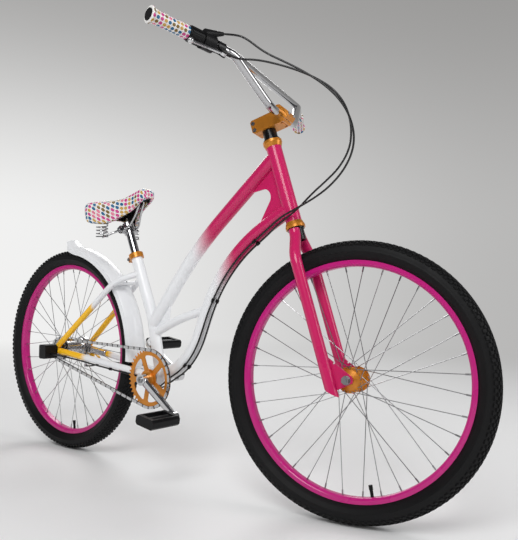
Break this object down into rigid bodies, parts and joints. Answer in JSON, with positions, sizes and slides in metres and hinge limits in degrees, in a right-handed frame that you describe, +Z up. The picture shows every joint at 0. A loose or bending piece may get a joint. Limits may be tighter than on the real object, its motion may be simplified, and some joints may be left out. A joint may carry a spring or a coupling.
{
  "type": "beach cruiser bicycle",
  "caption": "Beach cruiser bicycle with curved frame tubes, wide bar, sprung saddle, balloon tyres, chain drive, twist shifter and hand brake.",
  "frame": {"origin": "on the floor in the frame's middle plane, halfway between the axles measured with the wheels straight", "axes": "+X forward along the frame, +Y to the rider's left, +Z up"},
  "size_m": [1.7777, 0.8378, 1.1649],
  "materials": {
    "pink_paint": "gloss paint",
    "white_paint": "gloss paint",
    "yellow_paint": "gloss paint",
    "fade_paint": "gloss paint fading from pink to white",
    "magenta_anodised": "gloss coloured",
    "orange_anodised": "satin anodised",
    "silver": "polished",
    "chrome": "mirror",
    "steel": "brushed",
    "tyre_rubber": "matt moulded",
    "tube_rubber": "matt",
    "black_plastic": "satin",
    "cable_jacket": "gloss",
    "dotted_cover": "printed dots on white",
    "dotted_rubber": "printed dots on white",
    "black_metal": "satin black"
  },
  "bodies": {
    "frame": {"head_tube": "pink_paint", "bottom_bracket_shell": "white_paint", "down_tube": "fade_paint", "seat_tube": "white_paint", "top_tube": "fade_paint", "brace_tube": "white_paint", "frame_gussets": "pink_paint", "rear_dropouts": "yellow_paint", "seat_stays": "white_paint", "chain_stays": "white_paint", "headset_cups": "orange_anodised", "headset_bearings": "steel", "seat_collar": "orange_anodised", "frame_bolts": "steel", "bottom_bracket_cups": "steel", "rear_fender": "white_paint", "cable_clips": "black_plastic", "shift_cable": "cable_jacket", "brake_cable": "cable_jacket", "shift_box": "black_plastic", "rear_axle_set": "steel", "rear_brake_unit": "silver", "chain": "steel"},
    "front": {"fork_steerer": "steel", "fork_blades": "pink_paint", "steerer_spacer": "black_metal", "stem": "orange_anodised", "stem_bolts": "steel", "handlebar": "silver", "grips": "dotted_rubber", "grip_plugs": "black_plastic", "shifter_housing": "black_plastic", "lever_clamp": "black_metal", "front_axle_set": "steel"},
    "front_wheel": {"front_tyre": "tyre_rubber", "front_rim": "magenta_anodised", "front_inner_tube": "tube_rubber", "front_hub": "orange_anodised", "front_spokes": "steel"},
    "rear_wheel": {"rear_tyre": "tyre_rubber", "rear_rim": "magenta_anodised", "rear_inner_tube": "tube_rubber", "rear_hub": "silver", "rear_spokes": "steel"},
    "crankset": {"chainring": "orange_anodised", "crank_arms": "silver", "crank_spindle": "steel", "pedal_axles": "steel"},
    "sprocket": {"rear_sprocket": "steel"},
    "right_pedal": {"right_pedal": "black_plastic"},
    "left_pedal": {"left_pedal": "black_plastic"},
    "brake_lever": {"brake_lever": "silver"},
    "shift_grip": {"shift_grip": "black_plastic"},
    "saddle": {"seat_post": "chrome", "saddle_clamp": "chrome", "saddle_rails": "chrome", "saddle_springs": "chrome", "saddle_cover": "dotted_cover", "saddle_shell": "black_plastic"}
  },
  "joints": [
    {"name": "steering", "type": "hinge", "parent": "frame", "child": "front", "pos_m": [0.38043, 0, 0.72257], "axis": [-0.3251, 0, 0.9457], "range_deg": [-73.1, 46.9], "deforming": ["shift_cable", "brake_cable"]},
    {"name": "front_wheel_spin", "type": "hinge", "parent": "front", "child": "front_wheel", "pos_m": [0.555, 0.00923, 0.33666], "axis": [-0.2143, 0.974, -0.0737], "continuous": true},
    {"name": "rear_wheel_spin", "type": "hinge", "parent": "frame", "child": "rear_wheel", "pos_m": [-0.556, 0, 0.337], "axis": [0, 1, 0], "continuous": true},
    {"name": "crank_spin", "type": "hinge", "parent": "frame", "child": "crankset", "pos_m": [-0.10494, 0, 0.2804], "axis": [0, 1, 0], "continuous": true, "deforming": ["chain"]},
    {"name": "sprocket_spin", "type": "hinge", "parent": "frame", "child": "sprocket", "pos_m": [-0.556, 0, 0.337], "axis": [0, 1, 0], "continuous": true},
    {"name": "right_pedal_spin", "type": "hinge", "parent": "crankset", "child": "right_pedal", "pos_m": [0.04737, 0, 0.19423], "axis": [0, 1, 0], "continuous": true},
    {"name": "left_pedal_spin", "type": "hinge", "parent": "crankset", "child": "left_pedal", "pos_m": [-0.25725, 0, 0.36657], "axis": [0, 1, 0], "continuous": true},
    {"name": "brake_lever_pull", "type": "hinge", "parent": "front", "child": "brake_lever", "pos_m": [0.33859, -0.23485, 1.10085], "axis": [-0.7161, 0.0292, -0.6974], "range_deg": [0, 8], "stiffness_Nm_per_rad": 4, "springref_deg": -5.73},
    {"name": "shift_twist", "type": "hinge", "parent": "front", "child": "shift_grip", "pos_m": [0.31168, -0.28009, 1.1266], "axis": [0.1654, 0.9778, -0.129], "range_deg": [-35, 35]},
    {"name": "saddle_height", "type": "slide", "parent": "frame", "child": "saddle", "axis": [-0.3971, 0, 0.9178], "range_m": [-0.07, 0.06]}
  ],
  "couplings": [
    {"joint": "sprocket_spin", "follows": "crank_spin", "ratio": 2.3333}
  ]
}
